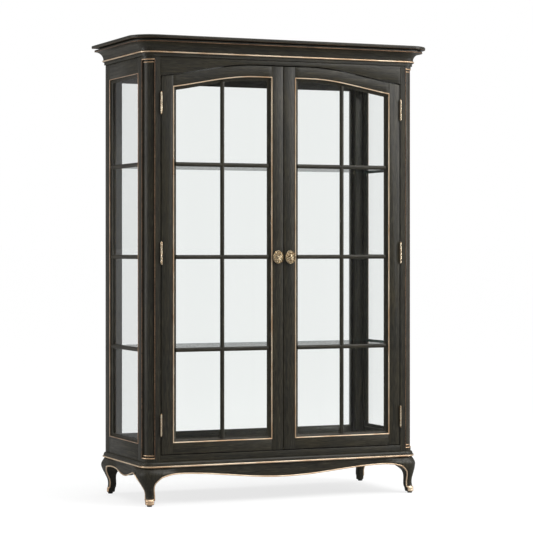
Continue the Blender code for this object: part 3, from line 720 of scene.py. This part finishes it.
# ---------------------------------------------------------------------------------------------
# Side frames: stiles and rails round a glazed light, a copper-gilt bead and a sloping moulding
# inside it, and three rounded cross bars in front of the pane.
# ---------------------------------------------------------------------------------------------
SIDE_BEAD_OUT = 0.0037
SIDE_BEAD = 0.0016
SLOPE = 0.0115
LIP_EDGE = 0.0015
UNDER_BEAD = 0.0022
BAR_WIDTH = 0.018
BAR_DEPTH = 0.0095
BAR_SET_BACK = 0.003
SHELVES = ("lower", "middle", "upper")
bar_heights = [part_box(f"glass_shelf_{name}")[0].z + 0.003 for name in SHELVES]
BAR_PROFILE = [(-BAR_WIDTH / 2, -BAR_DEPTH)]
for step in range(13):
    angle = math.pi * (1 - step / 12)
    BAR_PROFILE.append((BAR_WIDTH / 2 * math.cos(angle), BAR_DEPTH * (0.6 * math.sin(angle) - 0.6)))
BAR_PROFILE.append((BAR_WIDTH / 2, -BAR_DEPTH))


def glazing_bar(name, start, end, face, grain, body="root", replaces=()):
    """A rounded bar from start to end, whose rounded front stands out along face."""
    bm = lofted(rings_along([Vector(start), Vector(end)], face, BAR_PROFILE))
    make_piece(name, bm, [PAINT[grain]], body=body, replaces=replaces)


def slope_profile(width, lip, depth, back):
    """An ovolo that falls from the bead to the glass, with a lip over it, drawn from the bead."""
    points = [(0.0, -0.0006), (0.0, -back), (-width, -back)]
    if lip:
        points += [(-width, -depth - LIP_EDGE), (-width - lip, -depth - LIP_EDGE)]
    points.append((-width - lip, -depth))
    for step in range(1, 7):
        angle = math.radians(90 * step / 6)
        reach = (width + lip - UNDER_BEAD) * math.sin(angle) - width - lip
        points.append((reach, -depth * math.cos(angle) ** 1.6))
    return points


for hand, side in SIDES.items():
    node = f"side_frame_{hand}"
    low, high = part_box(node)
    glass_low, glass_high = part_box(f"side_glass_{hand}")
    y0, y1, z0, z1 = glass_low.y, glass_high.y, glass_low.z, glass_high.z
    out = SIDE_BEAD_OUT
    y0, y1, z0, z1 = y0 - out, y1 + out, z0 - out, z1 + out
    board(f"side_{hand}_stile_front", low, (high.x, y0, high.z), "z", [node])
    board(f"side_{hand}_stile_rear", (low.x, y1, low.z), high, "z")
    board(f"side_{hand}_rail_lower", (low.x, y0, low.z), (high.x, y1, z0), "y")
    board(f"side_{hand}_rail_upper", (low.x, y0, z1), (high.x, y1, high.z), "y")
    face = Vector((side, 0.0, 0.0))
    x = side * half_width
    loop = [(y0, z0), (y1, z0), (y1, z1), (y0, z1)]
    if side < 0:
        loop = [loop[1], loop[0], loop[3], loop[2]]
    points = [Vector((x, y, z)) for y, z in loop]
    gilt_line(f"side_{hand}_bead", points, face, SIDE_BEAD, material=COPPER, closed=True)
    back = abs(x) - max(abs(glass_low.x), abs(glass_high.x)) - 0.0004
    profile = slope_profile(out + SLOPE, 0.0, back - 0.0016, back)
    bm = lofted(rings_along(points, face, profile, True))
    make_piece(f"side_{hand}_slope", bm, [PAINT["z"]])
    bar_x = x - side * BAR_SET_BACK
    ends = (glass_low.y, glass_high.y)[::side]
    for number, height in enumerate(bar_heights, 1):
        start, end = [(bar_x, y, height) for y in ends]
        glazing_bar(f"side_{hand}_bar_{number}", start, end, face, "y")

# ---------------------------------------------------------------------------------------------
# The back: a glazed frame of two oak stiles and two rails, tenoned together, painted, and set
# between the rear posts. Its pane lies in a rebate.
# ---------------------------------------------------------------------------------------------
low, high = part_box("back_frame")
glass_low, glass_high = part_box("back_glass")
x1, z0, z1 = glass_high.x + 0.0003, glass_low.z, glass_high.z
board("back_stile_left", low, (-x1, high.y, high.z), "z", replaces=["back_frame"])
board("back_stile_right", (x1, low.y, low.z), high, "z")
board("back_rail_lower", (-x1, low.y, low.z), (x1, high.y, z0), "x")
board("back_rail_upper", (-x1, low.y, z1), (x1, high.y, high.z), "x")

# ---------------------------------------------------------------------------------------------
# Cabinet floor and ceiling: solid oak boards notched round the posts, painted like the rest.
# They lie on the base and under the cornice, and tie the four posts together.
# ---------------------------------------------------------------------------------------------
for node in ("bottom_board", "top_board"):
    dress(node, PAINT["x"])

# ---------------------------------------------------------------------------------------------
# Three shelves of 6 mm glass with polished edges, notched round the posts. Each rests on four
# brass pins, which have a flange against the post and a ball at the tip.
# ---------------------------------------------------------------------------------------------
SHELF_GLASS = clear_glass("shelf_glass", (0.955, 0.965, 0.960), 1.07)
GLASS_EDGE, _, edge_shader = new_finish("shelf_edge_glass")
edge_shader.inputs["Base Color"].default_value = (0.10, 0.36, 0.30, 1.0)
edge_shader.inputs["Roughness"].default_value = 0.12
edge_shader.inputs["Transmission Weight"].default_value = 0.5
EDGE_POLISH = 0.0008
PIN_STEM = 0.62  # the stem's radius, as a share of the flange's and the ball's


def aged_brass(name, bright, dark):
    """Cast or turned brass, its colour mottled at random between a bright and a dark tone."""
    material, tree, shader = new_finish(name)
    spots = noise(tree, add_node(tree, "TexCoord").outputs["Object"], 190.0, 4.0)
    tone = ramp(tree, spots, 0.34, dark, 0.58, bright)
    relief = add_node(tree, "Bump", {"Height": spots, "Strength": 0.12, "Distance": 0.0004})
    shader.inputs["Metallic"].default_value = 1.0
    shader.inputs["Roughness"].default_value = 0.24
    tree.links.new(tone, shader.inputs["Base Color"])
    tree.links.new(relief.outputs["Normal"], shader.inputs["Normal"])
    return material


BRASS = aged_brass("aged_brass", (0.80, 0.68, 0.48), (0.19, 0.115, 0.055))
PALE_BRASS = aged_brass("polished_brass", (0.92, 0.80, 0.60), (0.62, 0.42, 0.26))

for name in SHELVES:
    node = f"glass_shelf_{name}"
    bm = bmesh.new()
    bm.from_mesh(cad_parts[node].data)
    bmesh.ops.remove_doubles(bm, verts=bm.verts, dist=1e-6)
    bmesh.ops.dissolve_limit(bm, angle_limit=0.01, verts=bm.verts, edges=bm.edges)
    rims = [edge for edge in bm.edges if abs(edge.verts[0].co.z - edge.verts[1].co.z) < 1e-5]
    chamfer = {"segments": 1, "profile": 0.5, "affect": "EDGES", "material": -1}
    bmesh.ops.bevel(bm, geom=rims, offset=EDGE_POLISH, **chamfer)
    for face in bm.faces:
        face.material_index = int(abs(face.normal.z) < 0.9)
    finishes = [SHELF_GLASS, GLASS_EDGE]
    make_piece(node + "_polished", bm, finishes, replaces=[node])
    for end in ("front", "rear"):
        for hand, side in SIDES.items():
            pin = f"shelf_pin_{name}_{end}_{hand}"
            low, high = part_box(pin)
            centre = (low + high) / 2
            radius = (high.z - low.z) / 2
            length = high.x - low.x
            root = Vector((high.x if side > 0 else low.x, centre.y, centre.z))
            stem = radius * PIN_STEM
            profile = [(0, 0), (radius, 0), (radius, 0.0012), (stem, 0.0016)]
            profile += [(stem, length - 2 * radius)]
            for turn in (0.7, 1.2, 1.7, 2.2, 2.7):
                along = length - radius - radius * math.cos(turn)
                profile.append((0.98 * radius * math.sin(turn), along))
            profile.append((0, length))
            bm = bmesh.new()
            turned(bm, profile, root, (-side, 0, 0), 16)
            make_piece(pin + "_turned", bm, [PALE_BRASS], replaces=[pin])

# ---------------------------------------------------------------------------------------------
# The cornice: fascia, gilt bead, deep cove and a rubbed fillet, mitred round the corners, with
# a top slab whose edge is rounded over.
# ---------------------------------------------------------------------------------------------
FASCIA_OUT = 0.006
BEAD_OUT = 0.010
COVE_WIDTH = 0.040
COVE_HEIGHT = 0.0335
COVE_LIP = 0.003
FILLET_TOP = 0.0095
GROOVE = 0.022  # how far the neck under the slab is set back from the fillet
SLAB_UNDER = 0.0030
SLAB_OVER = 0.0045
cornice_low, cornice_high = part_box("cornice")
bead_z = cornice_low.z + 0.0175
cove_low, cove_out = bead_z + BEAD, BEAD_OUT + COVE_WIDTH
profile = [(FASCIA_OUT, cornice_low.z), (FASCIA_OUT, bead_z - BEAD)]
profile += arc(BEAD_OUT, bead_z, BEAD_SEAT, -80, 80, 6)
for step in range(13):
    angle = math.radians(90 * step / 12)
    reach = cove_out - COVE_LIP - (COVE_WIDTH - COVE_LIP) * math.cos(angle)
    profile.append((reach, cove_low + COVE_HEIGHT * math.sin(angle)))
fillet, fillet_out = cove_low + COVE_HEIGHT, cove_out + 0.001
profile += [(fillet_out, fillet + 0.0008), (fillet_out, fillet + FILLET_TOP - 0.001)]
profile += [(cove_out, fillet + FILLET_TOP), (cove_out - GROOVE, fillet + FILLET_TOP)]
profile += [(cove_out - GROOVE, cornice_high.z)]
moulding("cornice_worked", "cornice", profile)
body_bead("cornice_bead", BEAD_OUT + 0.0018, bead_z, 0.0037, 16, GILT)
body_bead("cornice_fillet_rub", fillet_out, fillet + 0.0024, 0.0017, 16, WORN_GILT)

slab_low, slab_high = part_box("top_slab")
slab_out = slab_high.x - half_width
under, over = slab_out - SLAB_UNDER, slab_out - SLAB_OVER
rounded = arc(under, slab_low.z + SLAB_UNDER, SLAB_UNDER, -90, 0, 5)
rounded += arc(over, slab_high.z - SLAB_OVER, SLAB_OVER, 0, 90, 7)
bm = lofted([[ring[0] for ring in rings_along(body_outline(), UP, [edge])] for edge in rounded])
make_piece("top_slab_rounded", bm, [PAINT["x"]], replaces=["top_slab"], crisp=50)
body_bead("top_slab_rub", slab_out - 0.0022, slab_low.z + 0.0016, 0.0015, 10, WORN_GILT)

# ---------------------------------------------------------------------------------------------
# Two doors. Each has full-height stiles with a rail tenoned between them at top and bottom, a
# gilt bead and a sloping moulding round the glass, and a grid of rounded, half-lapped bars.
# ---------------------------------------------------------------------------------------------
DOOR_THICKNESS = 0.025
DOOR_SLOPE = 0.0135
DOOR_LIP = 0.0028
DOOR_FALL = 0.0110
SHOULDER = 0.004
SIGHT_DROP = 0.063
JOINT = 0.00025
DOOR_BEAD = 0.0025
GLASS_PLAY = 0.0003
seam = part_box("right_door_frame")[0].x


def arch_line(start, end, drop, steps=18):
    """Points along the doors' arch at this drop below the crown."""
    places = [start + (end - start) * i / steps for i in range(steps + 1)]
    return [(x, door_crown - EDGE_EASE - drop - arch(x)) for x in places]


for hand, side in SIDES.items():
    door = f"{hand}_door"
    glass_low, glass_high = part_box(f"{door}_glass")
    sight_seam = min(abs(glass_low.x), abs(glass_high.x)) - GLASS_PLAY
    sight_outer = max(abs(glass_low.x), abs(glass_high.x)) + GLASS_PLAY
    bead_seam, bead_outer = sight_seam - DOOR_SLOPE, sight_outer + DOOR_SLOPE
    sight_low = glass_low.z - GLASS_PLAY
    bead_low, bead_drop = sight_low - DOOR_SLOPE, SIGHT_DROP - DOOR_SLOPE - EDGE_EASE
    outer, low_end = door_outer - EDGE_EASE, door_low + EDGE_EASE
    seam_side = seam + EDGE_EASE / 2

    outer_top = arch_line(outer - SHOULDER, bead_outer, 0.0, 6)
    shoulder = outer_top[0][1] - SHOULDER
    outlines = {
        "stile_outer": [(bead_outer, low_end), (outer, low_end), (outer, shoulder)]
        + [(outer - 0.25 * SHOULDER, shoulder + 0.7 * SHOULDER)] + outer_top,
        "stile_meeting": [(seam_side, low_end), (bead_seam, low_end)]
        + arch_line(bead_seam, seam_side, 0.0, 2),
        "rail_top": arch_line(bead_seam + JOINT, bead_outer - JOINT, bead_drop, 24)
        + arch_line(bead_outer - JOINT, bead_seam + JOINT, 0.0, 24),
        "rail_bottom": [(bead_seam + JOINT, low_end), (bead_outer - JOINT, low_end)]
        + [(bead_outer - JOINT, bead_low), (bead_seam + JOINT, bead_low)],
    }
    for part, outline in outlines.items():
        outline = [(side * x, z) for x, z in outline]
        grain = "z" if part.startswith("stile") else "x"
        hidden = [f"{door}_frame"] if part == "stile_outer" else []
        plank(f"{door}_{part}", outline, DOOR_THICKNESS, grain, 0.0007, door, hidden)

    low_x, high_x = sorted((side * bead_seam, side * bead_outer))
    loop = [(low_x, bead_low), (high_x, bead_low)]
    loop += arch_line(high_x, low_x, bead_drop, 30)
    points = [Vector((x, front, z)) for x, z in loop]
    gilt_line(f"{door}_bead", points, FORWARD, DOOR_BEAD, body=door, closed=True)
    profile = slope_profile(DOOR_SLOPE, DOOR_LIP, DOOR_FALL, DOOR_THICKNESS)
    bm = lofted(rings_along(points, FORWARD, profile, True))
    make_piece(f"{door}_slope", bm, [PAINT["z"]], body=door)

    bar_y = front + BAR_SET_BACK
    middle = side * (sight_seam + sight_outer) / 2
    crown = door_crown - SIGHT_DROP - arch(middle)
    low_x, high_x = sorted((side * sight_seam, side * sight_outer))
    start, end = (middle, bar_y, sight_low), (middle, bar_y, crown)
    hidden = [f"{door}_glazing_bars"]
    glazing_bar(f"{door}_bar_upright", start, end, FORWARD, "z", door, hidden)
    for number, height in enumerate(bar_heights, 1):
        start, end = (low_x, bar_y, height), (high_x, bar_y, height)
        glazing_bar(f"{door}_bar_cross_{number}", start, end, FORWARD, "x", door)

# ---------------------------------------------------------------------------------------------
# Three brass butt hinges on each door, let into its edge: a leaf on the post with two knuckles
# and ball tips, and a leaf on the door with the knuckle between them.
# ---------------------------------------------------------------------------------------------
HINGE_HALF = 0.045
KNUCKLE_HALF = 0.015
KNUCKLE_PLAY = 0.0002
BARREL = 0.0042
BARREL_EASE = 0.0004
PIN_RADIUS = 0.0021
BORE = 0.0026
LEAF = 0.0008
LEAF_PLAY = 0.0003
BALL_TIP = [(0.0, 0.0042), (0.0016, 0.0038), (0.0026, 0.0028), (0.0026, 0.0018), (0.0015, 0.0006)]


def add_leaf(bm, near, thickness, y0, y1, z0, z1):
    """A plate of a hinge's leaf, from near across its thickness in X."""
    low_x, high_x = sorted((near, near + thickness))
    add_box(bm, (low_x, y0, z0), (high_x, y1, z1))


for hand, side in SIDES.items():
    for level in ("lower", "middle", "upper"):
        name = f"hinge_{hand}_{level}"
        low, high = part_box(f"{name}_door_leaf")
        height = (low.z + high.z) / 2
        axis_y = low.y + BARREL + LEAF_PLAY
        pin = Vector(((low.x + high.x) / 2, axis_y, height))
        near = side * (opening_half - LEAF_PLAY)
        bm = bmesh.new()
        for way in (-1, 1):
            profile = [(r, HINGE_HALF + d) for r, d in BALL_TIP]
            profile += [(BARREL - BARREL_EASE, HINGE_HALF), (BARREL, HINGE_HALF - BARREL_EASE)]
            knuckle_end = KNUCKLE_HALF + KNUCKLE_PLAY
            profile += [(BARREL, knuckle_end + BARREL_EASE), (BARREL - BARREL_EASE, knuckle_end)]
            profile += [(PIN_RADIUS, knuckle_end), (PIN_RADIUS, 0.0), (0.0, 0.0)]
            turned(bm, profile, pin, (0, 0, way), 20)
            tab = sorted((height + way * (KNUCKLE_HALF + LEAF_PLAY), height + way * HINGE_HALF))
            add_leaf(bm, near, -side * LEAF, axis_y + 0.0022, front, *tab)
        half = HINGE_HALF
        add_leaf(bm, near, -side * LEAF, front + LEAF_PLAY, high.y, height - half, height + half)
        piece = f"{name}_post_leaf"
        make_piece(piece + "_cast", bm, [PALE_BRASS], replaces=[piece])

        near = side * (door_outer + LEAF_PLAY)
        bm = bmesh.new()
        tube = [(BARREL, -1), (BARREL, 1), (BORE, 1), (BORE, -1), (BARREL, -1)]
        profile = [(r, way * (KNUCKLE_HALF - KNUCKLE_PLAY)) for r, way in tube]
        turned(bm, profile, pin, (0, 0, 1), 20)
        neck = (axis_y + 0.0028, front, KNUCKLE_HALF - LEAF_PLAY)
        for y0, y1, half in (neck, (front + LEAF_PLAY, high.y, HINGE_HALF)):
            add_leaf(bm, near, side * LEAF, y0, y1, height - half, height + half)
        piece = f"{name}_door_leaf"
        make_piece(piece + "_cast", bm, [PALE_BRASS], f"{hand}_door", [piece])

# ---------------------------------------------------------------------------------------------
# A cast brass knob on each door: an oval rosette of petals inside a raised rim, a short neck,
# and a round boss with a spiral cut in its face. It is fixed by a screw from behind.
# ---------------------------------------------------------------------------------------------
PETALS = 12
PETAL_TWIST = 90
ARMS = 3
ARM_TWIST = 700
KNOB_SQUAT = 0.92
KNOB_ROWS = [
    # radius, out from the door, roundness (0 oval, 1 round), petal height, spiral depth
    (0.0190, 0.0000, 0.0, 0.0000, 0.0000),
    (0.0196, 0.0008, 0.0, 0.0000, 0.0000),
    (0.0192, 0.0026, 0.0, 0.0000, 0.0000),
    (0.0212, 0.0050, 0.0, 0.0000, 0.0000),
    (0.0236, 0.0064, 0.0, 0.0000, 0.0000),
    (0.0248, 0.0080, 0.0, 0.0000, 0.0000),
    (0.0246, 0.0096, 0.0, 0.0000, 0.0000),
    (0.0234, 0.0106, 0.0, 0.0000, 0.0000),
    (0.0223, 0.0098, 0.0, 0.0000, 0.0000),
    (0.0216, 0.0084, 0.0, 0.0008, 0.0000),
    (0.0205, 0.0098, 0.0, 0.0022, 0.0000),
    (0.0188, 0.0114, 0.0, 0.0028, 0.0000),
    (0.0168, 0.0122, 0.0, 0.0026, 0.0000),
    (0.0150, 0.0116, 0.1, 0.0018, 0.0000),
    (0.0137, 0.0098, 0.2, 0.0008, 0.0000),
    (0.0127, 0.0084, 0.4, 0.0000, 0.0000),
    (0.0108, 0.0088, 0.7, 0.0000, 0.0000),
    (0.0090, 0.0108, 0.9, 0.0000, 0.0000),
    (0.0084, 0.0134, 1.0, 0.0000, 0.0000),
    (0.0092, 0.0156, 1.0, 0.0000, 0.0000),
    (0.0116, 0.0170, 1.0, 0.0000, 0.0000),
    (0.0131, 0.0190, 1.0, 0.0000, 0.0000),
    (0.0135, 0.0212, 1.0, 0.0000, 0.0000),
    (0.0132, 0.0236, 1.0, 0.0000, 0.0000),
    (0.0122, 0.0250, 1.0, 0.0000, 0.0000),
    (0.0112, 0.0246, 1.0, 0.0000, 0.0000),
    (0.0104, 0.0226, 1.0, 0.0000, 0.0002),
    (0.0094, 0.0232, 1.0, 0.0000, 0.0012),
    (0.0081, 0.0244, 1.0, 0.0000, 0.0016),
    (0.0066, 0.0250, 1.0, 0.0000, 0.0016),
    (0.0051, 0.0250, 1.0, 0.0000, 0.0012),
    (0.0040, 0.0242, 1.0, 0.0000, 0.0006),
    (0.0030, 0.0240, 1.0, 0.0000, 0.0000),
    (0.0024, 0.0262, 1.0, 0.0000, 0.0000),
    (0.0012, 0.0276, 1.0, 0.0000, 0.0000),
    (0.0003, 0.0279, 1.0, 0.0000, 0.0000),
]
for hand, side in SIDES.items():
    node = f"{hand}_door_knob"
    low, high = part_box(node)
    centre = (low + high) / 2
    tall = KNOB_SQUAT * (high.z - low.z) / (high.x - low.x)
    rings = []
    for radius, out, roundness, petal, spiral in KNOB_ROWS:
        stretch = tall + (1.0 - tall) * roundness
        ring = []
        for step in range(120):
            angle = math.radians(3 * step)
            rise = petal * math.cos(PETALS * angle + side * PETAL_TWIST * radius)
            rise += spiral * math.cos(ARMS * angle + side * ARM_TWIST * radius)
            x = centre.x + radius * math.cos(angle)
            z = centre.z + radius * math.sin(angle) * stretch
            ring.append(Vector((x, high.y - out - rise, z)))
        rings.append(ring)
    bm = lofted(rings)
    make_piece(node + "_cast", bm, [BRASS], f"{hand}_door", [node], crisp=60)

[[list(end) for end in box] for box in (cad_bounds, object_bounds())]
